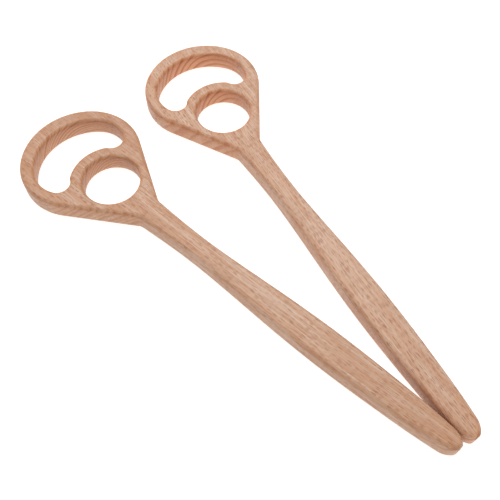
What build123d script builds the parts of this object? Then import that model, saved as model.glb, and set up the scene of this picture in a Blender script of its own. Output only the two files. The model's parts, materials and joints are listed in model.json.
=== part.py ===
"""A pair of wooden salad servers lying flat in a narrow V, handle ends together.

Each server is one piece of board: a round head pierced by a crescent and a
round hole, straight flanks running in to a narrow neck, and a handle that
swells once and closes to a blunt nose. Units are mm. The origin is the middle
of the row on the surface the servers lie on: +Y runs from the handle ends to
the heads, +X to the right and +Z up.
"""

import os
from math import acos, atan2, cos, degrees, hypot, radians, sin, tan

from build123d import *

os.makedirs("parts", exist_ok=True)

# One server, measured along its own axis from the middle of the head
server_length = 330
board_thickness = 14.3
head_reach = 40

# Rounding of every edge, and the share of a thin wall it may take from each side
edge_round = 3
wall_share = 0.48

# Head: a blunt tip arc, two shoulder arcs and straight flanks
tip_radius = 42.5
shoulder_radius = 36.3
shoulder_start = 133.7
flank_angle = 31.4
neck_half_width = 8.6
neck_round = 5.5

# Round hole, and the ring of wood between it and the crescent
hole_radius = 18.3
hole_center = 27.4
ring_wall = 9.2

# Crescent: outer side, slacker arc towards each end, end cap and corner
crescent_radius = 36
crescent_center = 7.1
crescent_slack_radius = 20.9
cap_radius = 7.5
cap_along = 2.8
cap_aside = 23.7
corner_round = 6

# Handle half widths at its slimmest and fullest
waist_half_width = 7
belly_half_width = 10.3

# Shares of the way from the neck to the nose at which the handle is slimmest,
# on the rise, fullest and on the fall, and how much of the swell it has there
waist_share = 0.17
rise_share = 0.4
rise_swell = 0.52
belly_share = 0.64
fall_share = 0.84
fall_swell = 0.68
neck_taper = 0.06

# The blunt nose that the handle closes to
nose_radius = 4.2
nose_side_radius = 12.5
nose_turn = 45
nose_start = 83

# How the two lie: half the angle of the V, the play between the handles
# where they come closest, and how far the right one lies nearer
lay_angle = 8.85
handle_play = 0.4
stagger = 2.15


def on_circle(center, radius, angle):
    """The point of a circle at an angle in degrees."""
    return (
        center[0] + radius * cos(radians(angle)),
        center[1] + radius * sin(radians(angle)),
    )


def heading(start, end):
    """The direction from one point to another, in degrees."""
    return degrees(atan2(end[1] - start[1], end[0] - start[0]))


def third_center(first, first_reach, second, second_reach):
    """The point at the given distances from two others, on the left of their line."""
    apart = hypot(second[0] - first[0], second[1] - first[1])
    share = (first_reach**2 + apart**2 - second_reach**2) / (2 * apart * first_reach)
    return on_circle(first, first_reach, heading(first, second) + degrees(acos(share)))


tip_center = (tip_radius - head_reach, 0)
shoulder_center = on_circle(tip_center, tip_radius - shoulder_radius, shoulder_start)
flank_start = on_circle(shoulder_center, shoulder_radius, 90 - flank_angle)
neck = (
    flank_start[0] + (flank_start[1] - neck_half_width) / tan(radians(flank_angle)),
    neck_half_width,
)

# The wall between the round hole and a flank
flank_turn = radians(90 - flank_angle)
side_wall = (
    (neck[0] - hole_center) * cos(flank_turn) + neck[1] * sin(flank_turn) - hole_radius
)

nose_tip = server_length - head_reach
nose_center = (nose_tip - nose_radius, 0)
nose_side_center = on_circle(nose_center, nose_radius - nose_side_radius, nose_turn)
nose_edge = on_circle(nose_side_center, nose_side_radius, nose_start)

# Points on the handle's edge
handle_run = nose_edge[0] - neck[0]
waist = (neck[0] + waist_share * handle_run, waist_half_width)
belly = (neck[0] + belly_share * handle_run, belly_half_width)
rise = (
    neck[0] + rise_share * handle_run,
    waist[1] + rise_swell * (belly[1] - waist[1]),
)
fall = (
    neck[0] + fall_share * handle_run,
    nose_edge[1] + fall_swell * (belly[1] - nose_edge[1]),
)

# Arc centers of the crescent's upper half
outer_center = (crescent_center, 0)
ring_center = (hole_center, 0)
ring_radius = hole_radius + ring_wall
cap_center = (cap_along, cap_aside)
slack_center = third_center(
    outer_center,
    crescent_radius - crescent_slack_radius,
    cap_center,
    crescent_slack_radius - cap_radius,
)
corner_center = third_center(
    ring_center, ring_radius - corner_round, cap_center, cap_radius + corner_round
)


def server(label, side, nearer):
    """One server, its axis turned by the lay angle towards the given side."""
    turn = radians(side * lay_angle)
    head_x = side * (nose_reach + handle_play / 2) + nose_tip * sin(turn)
    head_y = nose_tip * cos(turn) - row_middle - nearer
    along = (-sin(turn), -cos(turn), 0)
    lay = Plane(origin=(head_x, head_y, 0), x_dir=along, z_dir=(0, 0, 1))

    with BuildPart() as piece:
        with BuildSketch(lay):
            # Outline
            nose_side = radians(nose_start)
            with BuildLine():
                CenterArc(tip_center, tip_radius, 180, shoulder_start - 180)
                CenterArc(
                    shoulder_center,
                    shoulder_radius,
                    shoulder_start,
                    90 - flank_angle - shoulder_start,
                )
                Line(flank_start, neck)
                Spline(
                    neck,
                    waist,
                    rise,
                    belly,
                    fall,
                    nose_edge,
                    tangents=[(1, -neck_taper), (sin(nose_side), -cos(nose_side))],
                    tangent_scalars=[1, 1],
                )
                CenterArc(
                    nose_side_center, nose_side_radius, nose_start, nose_turn - nose_start
                )
                CenterArc(nose_center, nose_radius, nose_turn, -nose_turn)
                mirror(about=Plane.XZ)
            make_face()
            # Crescent
            with BuildLine():
                outer_turn = heading(outer_center, slack_center)
                slack_turn = heading(slack_center, cap_center)
                cap_turn = heading(cap_center, corner_center) % 360
                ring_turn = heading(ring_center, corner_center)
                CenterArc(outer_center, crescent_radius, 180, outer_turn - 180)
                CenterArc(
                    slack_center, crescent_slack_radius, outer_turn, slack_turn - outer_turn
                )
                CenterArc(cap_center, cap_radius, slack_turn, cap_turn - 360 - slack_turn)
                CenterArc(
                    corner_center, corner_round, cap_turn - 180, ring_turn - cap_turn + 180
                )
                CenterArc(ring_center, ring_radius, ring_turn, 180 - ring_turn)
                mirror(about=Plane.XZ)
            make_face(mode=Mode.SUBTRACT)
            # Round hole
            with Locations(ring_center):
                Circle(hole_radius, mode=Mode.SUBTRACT)
        extrude(amount=board_thickness)
        # Ease the two corners of the neck, then every edge of both faces
        corners = [
            edge
            for edge in piece.edges().filter_by(Axis.Z)
            if abs(lay.to_local_coords(edge @ 0.5).X - neck[0]) < 1
        ]
        fillet(corners, neck_round)
        rounding = min(edge_round, wall_share * side_wall)
        fillet(piece.faces().sort_by(Axis.Z)[-1].edges(), rounding)
        fillet(piece.faces().sort_by(Axis.Z)[0].edges(), rounding)
    piece.part.label = label
    return piece.part


# How far a nose tip stays from the middle of the V when its side just reaches it
lay_turn = radians(lay_angle)
nose_reach = (
    nose_side_radius
    + nose_side_center[1] * cos(lay_turn)
    - (nose_tip - nose_side_center[0]) * sin(lay_turn)
)

# The row's middle along Y, counted from the left nose tip
top = (nose_tip - tip_center[0]) * cos(lay_turn) + tip_radius
bottom = nose_radius * (cos(lay_turn) - 1) - stagger
row_middle = (top + bottom) / 2

left_server = server("left_server", -1, 0)
right_server = server("right_server", 1, stagger)

export_step(left_server, "parts/left_server.step")
export_step(right_server, "parts/right_server.step")
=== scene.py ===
"""Two wooden salad servers lying in a narrow V on a white table."""

import json

import bmesh
import bpy
import numpy as np
from mathutils import Euler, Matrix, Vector


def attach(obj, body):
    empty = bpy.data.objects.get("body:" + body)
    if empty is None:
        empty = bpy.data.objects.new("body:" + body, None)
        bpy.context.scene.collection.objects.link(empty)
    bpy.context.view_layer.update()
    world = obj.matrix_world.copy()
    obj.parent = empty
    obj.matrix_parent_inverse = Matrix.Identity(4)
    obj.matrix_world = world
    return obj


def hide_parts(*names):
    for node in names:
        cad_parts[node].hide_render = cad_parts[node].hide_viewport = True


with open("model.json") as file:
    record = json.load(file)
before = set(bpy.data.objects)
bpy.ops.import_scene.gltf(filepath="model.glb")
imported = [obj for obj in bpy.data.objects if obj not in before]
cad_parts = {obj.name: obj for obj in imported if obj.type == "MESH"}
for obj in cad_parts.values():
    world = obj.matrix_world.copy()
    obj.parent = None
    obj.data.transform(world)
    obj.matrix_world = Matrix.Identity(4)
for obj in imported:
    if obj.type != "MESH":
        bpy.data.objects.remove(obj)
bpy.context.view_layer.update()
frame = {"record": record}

# ---------------------------------------------------------------------------
# Camera: a normal lens held above the handle ends, to the left of the pair,
# looking down steeply at the middle of the V.
# ---------------------------------------------------------------------------
camera_place = Vector((-0.1482, -0.1595, 0.3725))
camera_target = Vector((-0.00696, 0.00538, 0.0))
camera_data = bpy.data.cameras.new("table_camera")
camera_data.lens = 49.48
camera_data.sensor_width = 36
camera_data.clip_start = 0.01
camera = bpy.data.objects.new("table_camera", camera_data)
camera.location = camera_place
camera.rotation_euler = (camera_target - camera_place).to_track_quat("-Z", "Y").to_euler()
bpy.context.scene.collection.objects.link(camera)
bpy.context.scene.camera = camera
bpy.context.scene.view_settings.view_transform = "Standard"

# ---------------------------------------------------------------------------
# Table and studio light: a white acrylic table lit from beneath as well as
# from above, under one broad softbox that stands a little behind the heads.
# From below the table is seen through, so that the undersides show.
# ---------------------------------------------------------------------------
table_half, table_top = 1.2, -0.0001
table_corners = [
    (-table_half, -table_half, table_top),
    (table_half, -table_half, table_top),
    (table_half, table_half, table_top),
    (-table_half, table_half, table_top),
]
table_mesh = bpy.data.meshes.new("white_table")
table_mesh.from_pydata(table_corners, [], [(0, 1, 2, 3)])
table = bpy.data.objects.new("white_table", table_mesh)
bpy.context.scene.collection.objects.link(table)
acrylic = bpy.data.materials.new("white_acrylic")
acrylic.use_nodes = True
acrylic_shader = acrylic.node_tree.nodes["Principled BSDF"]
acrylic_shader.inputs["Base Color"].default_value = (0.42, 0.42, 0.42, 1)
acrylic_shader.inputs["Roughness"].default_value = 0.9
acrylic_shader.inputs["Specular IOR Level"].default_value = 0.1
acrylic_shader.inputs["Emission Color"].default_value = (1, 1, 1, 1)
acrylic_shader.inputs["Emission Strength"].default_value = 0.86
seen_through = acrylic.node_tree.nodes.new("ShaderNodeBsdfTransparent")
facing = acrylic.node_tree.nodes.new("ShaderNodeNewGeometry")
either = acrylic.node_tree.nodes.new("ShaderNodeMixShader")
acrylic_end = acrylic.node_tree.nodes["Material Output"]
acrylic.node_tree.links.new(facing.outputs["Backfacing"], either.inputs[0])
acrylic.node_tree.links.new(acrylic_shader.outputs[0], either.inputs[1])
acrylic.node_tree.links.new(seen_through.outputs[0], either.inputs[2])
acrylic.node_tree.links.new(either.outputs[0], acrylic_end.inputs["Surface"])
table.data.materials.append(acrylic)

studio = bpy.data.worlds.new("studio_room")
studio.use_nodes = True
studio.node_tree.nodes["Background"].inputs["Color"].default_value = (1, 1, 1, 1)
studio.node_tree.nodes["Background"].inputs["Strength"].default_value = 0.36
bpy.context.scene.world = studio


def add_softbox(name, place, target, size, power):
    """A square area light at one point, turned to face another."""
    data = bpy.data.lights.new(name, "AREA")
    data.shape = "SQUARE"
    data.size = size
    data.energy = power
    light = bpy.data.objects.new(name, data)
    light.location = place
    light.rotation_euler = (Vector(target) - Vector(place)).to_track_quat("-Z", "Y").to_euler()
    bpy.context.scene.collection.objects.link(light)


add_softbox("back_softbox", (0.3, 0.8, 2.0), (0, 0, 0), 1.5, 36)

# ---------------------------------------------------------------------------
# The pair of servers: two loose pieces of one shape. Each is one beech board,
# sawn to outline, bored and cut out, with every edge rounded over, the handle
# more than the head, then sanded and left bare.
# ---------------------------------------------------------------------------
# Sizes in millimetres and degrees, from the middle of the head along the server's axis
board = 14.3
hole_center, hole_radius = np.array([27.4, 0.0]), 18.3
tip_center, tip_radius = np.array([2.5, 0.0]), 42.5
shoulder_radius, shoulder_start, flank_angle = 36.3, 133.7, 31.4
neck_half, neck_ease, neck_taper = 8.6, 1.4, 0.06
waist_half, belly_half = 7.0, 10.3
nose_radius, nose_side_radius, nose_tip = 4.2, 12.5, 290.0
nose_turn, nose_start, facet_half = 45, 83, 1.3

# Shares of the way down the handle at which it is slimmest, on the rise, fullest and
# on the fall, and how much of the swell it has on the rise and on the fall
waist_share, rise_share, belly_share, fall_share = 0.17, 0.4, 0.64, 0.84
rise_swell, fall_swell = 0.52, 0.68

# Rounding: the head's reach, how much more the handle's reaches, where that starts and
# over what length it grows, the length in which the nose loses it, and depth by reach
head_round, softer_by, softer_from, softer_over, nose_closing = 3.0, 0.5, 70, 90, 14
round_depth, sanded_off = 0.94, 0.05

# Painted shade: a darker band under the upper edges, where the light falls off: how fast
# it fades down the wall, the share of it that the handle lacks, where that loss starts
# and over what length it grows
band_fall, band_loss, band_from, band_over = 1.5, 0.8, 60, 50

# Cells across and along the wood, and points round each edge and down each wall
across_cells, ring_cells, brim_cells = 8, 6, 6
rim_cells, side_cells, handle_cells = 70, 64, 170
round_points, wall_points = 8, 6
arc_points, handle_points, neck_points = 200, 900, 60


def arc(center, radius, start, end):
    """Points of a circle between two angles in degrees, closely spaced."""
    turn = np.radians(np.linspace(start, end, arc_points))
    return center + radius * np.stack([np.cos(turn), np.sin(turn)], 1)


def heading(start, end):
    """The direction from one point to another, in degrees."""
    return np.degrees(np.arctan2(end[1] - start[1], end[0] - start[0]))


def third_center(first, first_reach, second, second_reach):
    """The point at given distances from two others, left of their line, by the cosine rule."""
    apart = np.hypot(*(second - first))
    share = (first_reach**2 + apart**2 - second_reach**2) / (2 * apart * first_reach)
    turn = np.radians(heading(first, second)) + np.arccos(share)
    return first + first_reach * np.array([np.cos(turn), np.sin(turn)])


def smooth_through(knots, start_slope, end_slope, along):
    """Heights at the given places on a curve through the knots: a cubic between each
    two knots, whose slopes are solved so that the bending runs on through every knot."""
    x, y = knots.T
    gap, rise = np.diff(x), np.diff(y)
    count = len(x)
    system = np.eye(count)
    right = np.zeros(count)
    right[0], right[-1] = start_slope, end_slope
    inner = np.arange(1, count - 1)
    system[inner, inner - 1] = 1 / gap[:-1]
    system[inner, inner] = 2 / gap[:-1] + 2 / gap[1:]
    system[inner, inner + 1] = 1 / gap[1:]
    right[inner] = 3 * (rise[:-1] / gap[:-1] ** 2 + rise[1:] / gap[1:] ** 2)
    slope = np.linalg.solve(system, right)
    piece = np.clip(np.searchsorted(x, along) - 1, 0, count - 2)
    t = (along - x[piece]) / gap[piece]
    return (
        y[piece] * (1 + 2 * t) * (1 - t) ** 2
        + y[piece + 1] * t**2 * (3 - 2 * t)
        + gap[piece] * (slope[piece] * t * (1 - t) ** 2 - slope[piece + 1] * t**2 * (1 - t))
    )


def evened(line, cells):
    """The same line with its points spaced evenly by length, and its left-hand normals."""
    step = np.hypot(*np.diff(line, axis=0).T)
    run = np.concatenate([[0], np.cumsum(step)])
    kept = np.concatenate([[True], step > 1e-9])
    run, line = run[kept], line[kept]
    tangent = np.gradient(line, run, axis=0)
    at = np.linspace(0, run[-1], cells + 1)
    points = np.stack([np.interp(at, run, line[:, i]) for i in (0, 1)], 1)
    normal = np.stack([np.interp(at, run, way) for way in (-tangent[:, 1], tangent[:, 0])], 1)
    return points, normal / np.hypot(*normal.T)[:, None]


# Outline of the upper half, from the tip of the head to the nose
shoulder_center = arc(tip_center, tip_radius - shoulder_radius, shoulder_start, 180)[0]
flank_start = arc(shoulder_center, shoulder_radius, 90 - flank_angle, 90)[0]
flank_slope = np.tan(np.radians(flank_angle))
neck = np.array([flank_start[0] + (flank_start[1] - neck_half) / flank_slope, neck_half])
nose_center = np.array([nose_tip - nose_radius, 0.0])
nose_side_center = arc(nose_center, nose_radius - nose_side_radius, nose_turn, 90)[0]
nose_edge = arc(nose_side_center, nose_side_radius, nose_start, 90)[0]
handle_run = nose_edge[0] - neck[0]
swell = belly_half - waist_half
fall_half = nose_edge[1] + fall_swell * (belly_half - nose_edge[1])
handle_knots = np.array(
    [
        neck,
        (neck[0] + waist_share * handle_run, waist_half),
        (neck[0] + rise_share * handle_run, waist_half + rise_swell * swell),
        (neck[0] + belly_share * handle_run, belly_half),
        (neck[0] + fall_share * handle_run, fall_half),
        nose_edge,
    ]
)
nose_slope = -1 / np.tan(np.radians(nose_start))
handle_x = np.linspace(neck[0], nose_edge[0], handle_points)
handle_y = smooth_through(handle_knots, -neck_taper, nose_slope, handle_x)
handle_edge = np.stack([handle_x, handle_y], 1)

# The crescent: its outer side, the slacker arc towards each end, the end's cap, the
# corner, and the ring of wood round the hole. It is split where its end faces the handle.
outer_center, outer_radius, slack_radius = np.array([7.1, 0.0]), 36.0, 20.9
cap_center, cap_radius, cap_split = np.array([2.8, 23.7]), 7.5, 66
ring_radius, corner_round = 27.5, 6.0
slack_center = third_center(
    outer_center, outer_radius - slack_radius, cap_center, slack_radius - cap_radius
)
corner_center = third_center(
    hole_center, ring_radius - corner_round, cap_center, cap_radius + corner_round
)
outer_turn = heading(outer_center, slack_center)
slack_turn = heading(slack_center, cap_center)
cap_turn = heading(cap_center, corner_center) % 360
ring_turn = heading(hole_center, corner_center)

# The lines across the wood part at the crescent's end, in its direction from the hole
end_turn = heading(cap_center, hole_center) + cap_split
crescent_end = arc(cap_center, cap_radius, end_turn, end_turn + 1)[0]
hole_turn = heading(hole_center, crescent_end)
neck_turn = heading(hole_center, neck)
shoulder_turn = heading(shoulder_center, crescent_end)
facet_turn = np.degrees(np.arcsin(facet_half / nose_radius))

# The outline in three lines, with the corner of the neck eased
rim_line = np.concatenate(
    [
        arc(tip_center, tip_radius, 180, shoulder_start),
        arc(shoulder_center, shoulder_radius, shoulder_start, shoulder_turn),
    ]
)
flank_end = neck + neck_ease * np.array([-1, flank_slope]) / np.hypot(1, flank_slope)
handle_from = handle_edge[np.searchsorted(handle_x, neck[0] + neck_ease)]
ease = np.linspace(0, 1, neck_points)[:, None]
neck_curve = (1 - ease) ** 2 * flank_end + 2 * ease * (1 - ease) * neck + ease**2 * handle_from
side_line = np.concatenate(
    [
        arc(shoulder_center, shoulder_radius, shoulder_turn, 90 - flank_angle),
        flank_end[None],
        neck_curve[: neck_points // 2],
    ]
)
handle_line = np.concatenate(
    [
        neck_curve[neck_points // 2 - 1 :],
        handle_edge[handle_x > handle_from[0]],
        arc(nose_side_center, nose_side_radius, nose_start, nose_turn),
        arc(nose_center, nose_radius, nose_turn, facet_turn),
    ]
)


def rounding(points):
    """How far the rounding reaches in: the head's own, and more down the handle by a
    smooth step, less what is lost in a straight line over the nose."""
    grown = np.clip((points[:, 0] - softer_from) / softer_over, 0, 1)
    grown = grown * grown * (3 - 2 * grown)
    closing = np.clip((nose_tip - points[:, 0]) / nose_closing, 0, 1)
    return head_round + softer_by * grown * closing


def wood_line(line, cells, way):
    """A line of the outline or of a cut-out, evenly spaced: its points, its normals into
    the wood, and how far the rounding reaches in from it at each point."""
    points, normal = evened(line, cells)
    return points, way * normal, rounding(points)


rim = wood_line(rim_line, rim_cells, -1)
side = wood_line(side_line, side_cells, -1)
handle = wood_line(handle_line, handle_cells, -1)
inner = wood_line(
    np.concatenate(
        [
            arc(hole_center, ring_radius, 180, ring_turn),
            arc(corner_center, corner_round, ring_turn, cap_turn - 180),
            arc(cap_center, cap_radius, cap_turn - 360, end_turn),
        ]
    ),
    rim_cells,
    -1,
)
outer = wood_line(
    np.concatenate(
        [
            arc(outer_center, outer_radius, 180, outer_turn),
            arc(slack_center, slack_radius, outer_turn, slack_turn),
            arc(cap_center, cap_radius, slack_turn, end_turn),
        ]
    ),
    rim_cells,
    1,
)
hole_ring = wood_line(arc(hole_center, hole_radius, 180, hole_turn), rim_cells, 1)
hole_side = wood_line(arc(hole_center, hole_radius, hole_turn, neck_turn), side_cells, 1)
hole_neck = wood_line(arc(hole_center, hole_radius, neck_turn, -neck_turn), across_cells, 1)


def meet(first, second):
    """Makes two lines that follow each other share the normal at their common point."""
    shared = first[1][-1] + second[1][0]
    first[1][-1] = second[1][0] = shared / np.hypot(*shared)


def start_on_axis(line, way):
    """Squares the first normal of a line that starts on the server's axis."""
    line[1][0] = (way, 0)


start_on_axis(rim, 1)
start_on_axis(inner, 1)
start_on_axis(outer, -1)
start_on_axis(hole_ring, -1)
meet(rim, side)
meet(side, handle)
meet(hole_ring, hole_side)
meet(hole_side, hole_neck)
hole_neck[1][-1] = hole_neck[1][0] * (1, -1)
meet(inner, [part[::-1] for part in outer])

# The small flat at the very end of the handle, square to the axis
across = np.linspace(1, -1, across_cells + 1)[:, None]
corner, corner_normal = handle[0][-1], handle[1][-1]
facet_points = corner * np.hstack([np.ones_like(across), across])
facet_lean = np.arctan2(corner_normal[1], -corner_normal[0]) * across
facet_normal = np.hstack([-np.cos(facet_lean), np.sin(facet_lean)])
facet = (facet_points, facet_normal, np.repeat(handle[2][-1], across_cells + 1))


def inset(line):
    """Where the rounding of a line meets the flat face."""
    return line[0] + line[1] * line[2][:, None]


def ruled(first, second, cells):
    """Grid of points: straight lines, evenly divided, from each point of one line to the
    point of the same number on the other."""
    share = np.linspace(0, 1, cells + 1)[None, :, None]
    return first[:, None] + (second - first)[:, None] * share


def rolled_edge(line):
    """Grid over an edge: along the line, and round from the top face to the bottom one.
    The profile is a quarter ellipse, a straight wall and a second quarter ellipse. Gives
    the points in three dimensions, and how much painted shade each takes, for the darker
    band where the light falls off under the upper edge: the square of the sine round the
    upper edge, then fading down the wall, and less down the handle."""
    turn = np.radians(np.linspace(0, 90, round_points))
    wall = np.linspace(0, 1, wall_points)[1:-1]
    reach, depth = line[2][:, None], round_depth * line[2][:, None]
    upper_in = reach * (1 - np.sin(turn))
    upper_z = board - depth * (1 - np.cos(turn))
    wall_z = board - depth - (board - 2 * depth) * wall
    z = np.hstack([upper_z, wall_z, board - upper_z[:, ::-1]])
    inward = np.hstack([upper_in, 0 * wall_z, upper_in[:, ::-1]])
    inward += sanded_off * (1 - inward / reach)
    flat = line[0][:, None] + line[1][:, None] * inward[:, :, None]
    shade_mask = np.concatenate([np.sin(turn) ** 2, (1 - wall) ** band_fall, 0 * turn])
    lasting = 1 - band_loss * np.clip((line[0][:, :1] - band_from) / band_over, 0, 1)
    return np.dstack([flat, z]), lasting * shade_mask


def both_faces(grid):
    """The same flat grid on the top and on the bottom of the board, with no painted shade."""
    level = np.zeros(grid.shape[:2])
    return [(np.dstack([grid, level + height]), level) for height in (board, 0)]


# The flat of each face, as ruled patches between the cuts
ring_patch = ruled(inset(hole_ring), inset(inner), ring_cells)
rim_patch = ruled(inset(outer), inset(rim), brim_cells)
neck_line = ruled(inset(side)[-1:], inset(side)[-1:] * (1, -1), across_cells)[0]
neck_patch = ruled(inset(hole_neck), neck_line, ring_cells + brim_cells)
handle_patch = ruled(inset(handle), inset(handle) * (1, -1), across_cells)
handle_patch[-1] = inset(facet)

# Beside the crescent's end the lines across the wood leave that end bent, and
# straighten as they go down the flank
bent = np.concatenate([ring_patch[-1], rim_patch[-1][1:]])
start, span = bent[0], bent[-1] - bent[0]
bent_share = ((bent - start) @ span) / (span @ span)
bent_aside = bent - start - bent_share[:, None] * span
even_share = np.linspace(0, 1, ring_cells + brim_cells + 1)
fade = (1 - np.linspace(0, 1, side_cells + 1)) ** 3
share = even_share + (bent_share - even_share) * fade[:, None]
from_hole, to_flank = inset(hole_side)[:, None], inset(side)[:, None]
side_patch = from_hole + (to_flank - from_hole) * share[:, :, None]
side_patch += bent_aside * (fade**2)[:, None, None]

# One half and its mirror image, then what lies across the axis
half_grids = both_faces(ring_patch) + both_faces(rim_patch) + both_faces(side_patch)
half_lines = (rim, side, handle, inner, outer, hole_ring, hole_side)
half_grids += [rolled_edge(line) for line in half_lines]
whole_grids = both_faces(neck_patch) + both_faces(handle_patch)
whole_grids += [rolled_edge(line) for line in (hole_neck, facet)]
mirrored = [(points * (1, -1, 1), shade_mask) for points, shade_mask in half_grids]
all_grids = half_grids + mirrored + whole_grids


def joined(grids):
    """One set of points and quads from many grids: each grid gives a quad per cell, and
    points that fall on the same place, to a ten-thousandth of a millimetre, become one."""
    points, shade_mask, quads, used = [], [], [], 0
    for grid, edge in grids:
        rows, columns = grid.shape[:2]
        number = used + np.arange(rows * columns).reshape(rows, columns)
        corners = (number[:-1, :-1], number[1:, :-1], number[1:, 1:], number[:-1, 1:])
        quads.append(np.stack([corner.ravel() for corner in corners], 1))
        points.append(grid.reshape(-1, 3))
        shade_mask.append(edge.ravel())
        used += rows * columns
    points, shade_mask = np.concatenate(points), np.concatenate(shade_mask)
    _, first, place = np.unique(
        np.round(points, 4) + 0.0, axis=0, return_index=True, return_inverse=True
    )
    return points[first], shade_mask[first], place.reshape(-1)[np.concatenate(quads)]


server_points, server_shade_mask, server_quads = joined(all_grids)


def add_server(name, node, body, material):
    """Lays one server where the record's mounts put it: the hole's center and the middle
    of the underside are both on its axis, and give its place and its heading."""
    mounts = {mount["name"]: mount for mount in frame["record"]["mounts"]}
    hole = np.array(mounts[body + "_hole"]["pos_m"][:2])
    underside = np.array(mounts[body + "_underside"]["pos_m"][:2])
    along = (underside - hole) / np.hypot(*(underside - hole))
    aside = np.array([-along[1], along[0]])
    local = server_points / 1000
    flat = hole + (local[:, :1] - hole_center[0] / 1000) * along + local[:, 1:2] * aside
    places = np.hstack([flat, local[:, 2:]])
    mesh = bpy.data.meshes.new(name)
    mesh.from_pydata(places.tolist(), [], server_quads.tolist())
    loose = bmesh.new()
    loose.from_mesh(mesh)
    bmesh.ops.recalc_face_normals(loose, faces=loose.faces)
    loose.to_mesh(mesh)
    loose.free()
    mesh.polygons.foreach_set("use_smooth", np.ones(len(mesh.polygons), bool))
    # Each point's share of the painted shade band under the upper edges
    shade_mask = mesh.attributes.new("painted_shade_band", "FLOAT", "POINT")
    shade_mask.data.foreach_set("value", server_shade_mask.astype(np.float32))
    mesh.materials.append(material)
    server = bpy.data.objects.new(name, mesh)
    bpy.context.scene.collection.objects.link(server)
    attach(server, body)
    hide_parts(node)


# Beech: pinkish pale wood, with darker late wood at the end of each year's ring, fine
# fibre along the board, and short brown ray flecks. Its sizes are in millimetres too.
def add_node(tree, kind, inputs=None, **settings):
    """One shader node, with its settings, and each input set to a value or linked."""
    made = tree.nodes.new("ShaderNode" + kind)
    for key, value in settings.items():
        setattr(made, key, value)
    for key, value in (inputs or {}).items():
        if isinstance(value, bpy.types.NodeSocket):
            tree.links.new(value, made.inputs[key])
        else:
            made.inputs[key].default_value = value
    return made


def math(tree, operation, *values):
    """The result of one Math node."""
    return add_node(tree, "Math", dict(enumerate(values)), operation=operation).outputs[0]


def ramp(tree, value, low, high):
    """A mask that goes smoothly from 0 to 1 as the value goes from low to high."""
    limits = {"Value": value, "From Min": low, "From Max": high}
    return add_node(tree, "MapRange", limits, interpolation_type="SMOOTHSTEP").outputs[0]


def mixed(tree, mask, share, under, over, blend="MIX"):
    """One colour laid over another, by a mask times a share."""
    factor = math(tree, "MULTIPLY", mask, share)
    inputs = {0: factor, 6: under, 7: over}
    return add_node(tree, "Mix", inputs, data_type="RGBA", blend_type=blend).outputs[2]


def divided(tree, position, sizes):
    """The position counted in cells of the given sizes along, across and up."""
    apart = add_node(tree, "SeparateXYZ", {0: position}).outputs
    counts = [math(tree, "DIVIDE", apart[i], sizes[i]) for i in range(3)]
    return add_node(tree, "CombineXYZ", dict(enumerate(counts))).outputs[0]


def new_group(name, takes, gives):
    """An empty node group with its named inputs and outputs: the group, the sockets that
    bring its inputs in, and those that take its outputs out."""
    group = bpy.data.node_groups.new(name, "ShaderNodeTree")
    for title, kind in takes.items():
        group.interface.new_socket(title, in_out="INPUT", socket_type="NodeSocket" + kind)
    for title, kind in gives.items():
        group.interface.new_socket(title, in_out="OUTPUT", socket_type="NodeSocket" + kind)
    start = group.nodes.new("NodeGroupInput").outputs
    end = group.nodes.new("NodeGroupOutput").inputs
    return group, start, end


# Growth rings: distance from the heart of the tree, which runs beside the board,
# counted in ring widths, with a slow sway and uneven years. Late wood darkens the last
# part of each ring, each ring has its own tone, and flecks lie along the rings.
sway_length, sway_width = 140, 30
uneven_pace, uneven_years = 0.6, 1.1
late_from, late_full = 0.35, 0.95
rings, took, gave = new_group(
    "growth_rings",
    {
        "Position": "Vector",
        "Ring Width": "Float",
        "Heart Across": "Float",
        "Heart Height": "Float",
        "Wander": "Float",
        "Sweep Reach": "Float",
    },
    {"Late Wood": "Float", "Ring Tone": "Float", "Ray Position": "Vector"},
)
apart = add_node(rings, "SeparateXYZ", {0: took["Position"]}).outputs
across_heart = math(rings, "SUBTRACT", apart[1], took["Heart Across"])
over_heart = math(rings, "SUBTRACT", apart[2], took["Heart Height"])
across_square = math(rings, "MULTIPLY", across_heart, across_heart)
squares = math(rings, "MULTIPLY_ADD", over_heart, over_heart, across_square)
heart_reach = math(rings, "SQRT", squares)
slow = divided(rings, took["Position"], (sway_length, sway_width, sway_width))
sway = add_node(rings, "TexNoise", {"Vector": slow, "Scale": 1, "Detail": 1}).outputs[0]
sway = math(rings, "SUBTRACT", sway, 0.5)
swayed = math(rings, "MULTIPLY_ADD", sway, took["Wander"], heart_reach)
even_years = math(rings, "DIVIDE", swayed, took["Ring Width"])
pace = {"W": math(rings, "MULTIPLY", even_years, uneven_pace), "Scale": 1}
uneven = add_node(rings, "TexNoise", pace, noise_dimensions="1D").outputs[0]
years = math(rings, "MULTIPLY_ADD", uneven, uneven_years, even_years)
season = math(rings, "FRACT", years)
darkening = ramp(rings, season, late_from, late_full)
ending = ramp(rings, season, 1.0, late_full)
late = math(rings, "MULTIPLY", darkening, ending)
year = {"W": math(rings, "FLOOR", years)}
tone = add_node(rings, "TexWhiteNoise", year, noise_dimensions="1D").outputs[0]
bearing = math(rings, "ARCTAN2", across_heart, over_heart)
sweep = math(rings, "MULTIPLY", bearing, took["Sweep Reach"])
ray_place = add_node(rings, "CombineXYZ", {0: apart[0], 1: sweep, 2: heart_reach}).outputs[0]
rings.links.new(late, gave["Late Wood"])
rings.links.new(tone, gave["Ring Tone"])
rings.links.new(ray_place, gave["Ray Position"])

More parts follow.
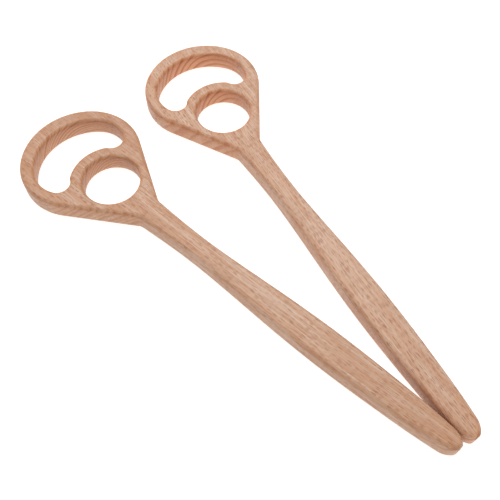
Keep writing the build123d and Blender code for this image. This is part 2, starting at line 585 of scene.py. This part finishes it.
# Fibre: soft streaks that run with the grain
streak_low, streak_high = 0.42, 0.58
fibre, took, gave = new_group(
    "wood_fibre",
    {"Position": "Vector", "Length": "Float", "Width": "Float"},
    {"Streak": "Float"},
)
drawn = divided(fibre, took["Position"], (took["Length"], took["Width"], took["Width"]))
fuzz = {"Vector": drawn, "Scale": 1, "Detail": 3, "Roughness": 0.6}
streak = add_node(fibre, "TexNoise", fuzz).outputs[0]
fibre.links.new(ramp(fibre, streak, streak_low, streak_high), gave["Streak"])

# Ray flecks: short spindles with the grain, each in its own cell, and only in some
fleck_edge, fleck_core = 0.45, 0.28
flecks, took, gave = new_group(
    "ray_flecks",
    {
        "Ray Position": "Vector",
        "Length": "Float",
        "Width": "Float",
        "Depth": "Float",
        "Share": "Float",
    },
    {"Fleck": "Float"},
)
spindle = (took["Length"], took["Width"], took["Depth"])
cell_place = divided(flecks, took["Ray Position"], spindle)
cell = add_node(flecks, "TexVoronoi", {"Vector": cell_place, "Scale": 1}).outputs
chance = add_node(flecks, "SeparateColor", {0: cell["Color"]}).outputs[0]
chosen = math(flecks, "LESS_THAN", chance, took["Share"])
body_of_fleck = ramp(flecks, cell["Distance"], fleck_edge, fleck_core)
flecks.links.new(math(flecks, "MULTIPLY", body_of_fleck, chosen), gave["Fleck"])

# Length and width of the fine and the broad fibre, and length, width and depth of the
# dark lines and of the two sizes of fleck
fine_size, broad_size = (30, 0.7), (70, 4.5)
line_size, fleck_size, small_size = (14, 0.6, 0.6), (5.0, 0.34, 1.6), (3.2, 0.3, 1.4)
line_share = 0.6

# How strongly each shows in the colour
fine_show, line_show, tone_show, end_show = 0.36, 0.6, 0.18, 0.75
fleck_show, small_show, fleck_loss_at_end = 0.72, 0.6, -0.9
end_spread = 0.9

# Where the head's darker tone is gone and where it is full
tone_gone, tone_full = 50, -60

# The painted shade band under the upper edges: its tint, its strength, and how much more of it
# the fibre takes
painted_shade_tint, painted_shade_even, painted_shade_fibre = (0.90, 0.70, 0.53, 1), 0.5, 0.45

# Roughness of bare wood, what fibre adds and the painted shade band takes; and the
# relief in metres, its strength, and how far flecks sink against it
bare_rough, fibre_rough, shade_band_rough = 0.46, 0.12, -0.08
relief, relief_strength, fleck_sink = 0.00008, 0.35, -0.6


def use_group(tree, group, inputs):
    """The outputs of a node group placed in a material, with its own values."""
    return add_node(tree, "Group", inputs, node_tree=group).outputs


def streaks(tree, place, size):
    """Fibre of one length and width."""
    sizes = {"Length": size[0], "Width": size[1]}
    return use_group(tree, fibre, {"Position": place, **sizes})[0]


def spindles(tree, place, size, share):
    """Flecks of one length, width and depth, in a share of their cells."""
    sizes = {"Length": size[0], "Width": size[1], "Depth": size[2]}
    return use_group(tree, flecks, {"Ray Position": place, "Share": share, **sizes})[0]


def beech(
    name,
    body,
    ring_width,
    heart,
    wander,
    sweep_reach,
    pale,
    rosy,
    late_colour,
    ring_colour,
    end_colour,
    fleck_colour,
    late_share,
    end_late,
    fleck_share,
    head_share,
):
    """Bare sanded beech whose grain runs along one server."""
    material = bpy.data.materials.new(name)
    material.use_nodes = True
    tree = material.node_tree
    shader = tree.nodes["Principled BSDF"]

    # The pattern starts at the hole's center and runs along the server, in millimetres
    mounts = {mount["name"]: mount for mount in frame["record"]["mounts"]}
    hole = Vector(mounts[body + "_hole"]["pos_m"][:2])
    underside = Vector(mounts[body + "_underside"]["pos_m"][:2])
    along = (underside - hole).normalized()
    turn = -np.arctan2(along.y, along.x)
    start = Vector((hole.x, hole.y, 0)) * 1000
    start.rotate(Euler((0, 0, turn)))
    where = add_node(tree, "TexCoord").outputs
    laid = {
        "Vector": where["Object"],
        "Location": -start,
        "Rotation": (0, 0, turn),
        "Scale": (1000, 1000, 1000),
    }
    place = add_node(tree, "Mapping", laid).outputs[0]

    board_rings = {
        "Position": place,
        "Ring Width": ring_width,
        "Heart Across": heart[0],
        "Heart Height": heart[1],
        "Wander": wander,
        "Sweep Reach": sweep_reach,
    }
    ring = use_group(tree, rings, board_rings)
    ray_place = ring["Ray Position"]
    fine = streaks(tree, place, fine_size)
    broad = streaks(tree, place, broad_size)
    lines = spindles(tree, place, line_size, line_share)
    large = spindles(tree, ray_place, fleck_size, fleck_share)
    small = spindles(tree, ray_place, small_size, fleck_share)

    # Fibre, dark lines and the tone of each ring, and a darker tone towards the head
    ground = mixed(tree, broad, 1, pale, rosy)
    streaked = mixed(tree, fine, fine_show, ground, late_colour)
    lined = mixed(tree, lines, line_show, streaked, late_colour)
    toned = mixed(tree, ring["Ring Tone"], tone_show, lined, rosy)
    along_board = add_node(tree, "SeparateXYZ", {0: place}).outputs[0]
    to_head = ramp(tree, along_board, tone_gone, tone_full)
    toned = mixed(tree, to_head, head_share, toned, late_colour)

    # End grain: where the wall is square to the grain, more orange and with darker rings
    grain = {0: where["Normal"], 1: (along.x, along.y, 0)}
    squareness = add_node(tree, "VectorMath", grain, operation="DOT_PRODUCT").outputs["Value"]
    end_grain = math(tree, "POWER", math(tree, "ABSOLUTE", squareness), end_spread)
    ended = mixed(tree, end_grain, end_show, toned, end_colour)
    ring_show = math(tree, "MULTIPLY_ADD", end_grain, end_late, late_share)
    ringed = mixed(tree, ring["Late Wood"], ring_show, ended, ring_colour)

    # Flecks, of which end grain shows hardly any
    any_fleck = math(tree, "MAXIMUM", large, math(tree, "MULTIPLY", small, small_show))
    kept_flecks = math(tree, "MULTIPLY_ADD", end_grain, fleck_loss_at_end, 1)
    any_fleck = math(tree, "MULTIPLY", any_fleck, kept_flecks)
    flecked = mixed(tree, any_fleck, fleck_show, ringed, fleck_colour)

    # Painted shade: the darker band under the upper edges, multiplied into the colour
    shade_mask = add_node(tree, "Attribute", attribute_name="painted_shade_band").outputs["Fac"]
    shade_strength = math(tree, "MULTIPLY_ADD", fine, painted_shade_fibre, painted_shade_even)
    shaded_colour = mixed(tree, shade_mask, shade_strength, flecked, painted_shade_tint, "MULTIPLY")
    tree.links.new(shaded_colour, shader.inputs["Base Color"])

    rough = math(tree, "MULTIPLY_ADD", fine, fibre_rough, bare_rough)
    rough = math(tree, "MULTIPLY_ADD", shade_mask, shade_band_rough, rough)
    tree.links.new(rough, shader.inputs["Roughness"])
    shader.inputs["Specular IOR Level"].default_value = 0.5
    height = math(tree, "MULTIPLY_ADD", any_fleck, fleck_sink, fine)
    surface = {"Height": height, "Strength": relief_strength, "Distance": relief}
    bump = add_node(tree, "Bump", surface)
    tree.links.new(bump.outputs[0], shader.inputs["Normal"])
    return material


# Left server: fine rings that cross the board at a slant, a streaky top, and a head
# that is browner than the handle
left_beech = beech(
    "left_beech",
    "left",
    ring_width=2.2,
    heart=(30, -25),
    wander=4,
    sweep_reach=36,
    pale=(0.67, 0.455, 0.33, 1),
    rosy=(0.61, 0.36, 0.225, 1),
    late_colour=(0.45, 0.19, 0.08, 1),
    ring_colour=(0.46, 0.165, 0.06, 1),
    end_colour=(0.80, 0.475, 0.29, 1),
    fleck_colour=(0.34, 0.115, 0.04, 1),
    late_share=0.26,
    end_late=0.5,
    fleck_share=0.33,
    head_share=0.3,
)
add_server("left_beech_server", "left_server", "left", left_beech)

# Right server: wide rings, strong on the end grain, paler wood, and more and darker
# flecks
right_beech = beech(
    "right_beech",
    "right",
    ring_width=4.6,
    heart=(25, -15),
    wander=3.5,
    sweep_reach=31,
    pale=(0.705, 0.48, 0.352, 1),
    rosy=(0.65, 0.395, 0.258, 1),
    late_colour=(0.45, 0.20, 0.095, 1),
    ring_colour=(0.54, 0.18, 0.06, 1),
    end_colour=(0.87, 0.445, 0.24, 1),
    fleck_colour=(0.31, 0.10, 0.035, 1),
    late_share=0.14,
    end_late=0.85,
    fleck_share=0.42,
    head_share=0.08,
)
add_server("right_beech_server", "right_server", "right", right_beech)
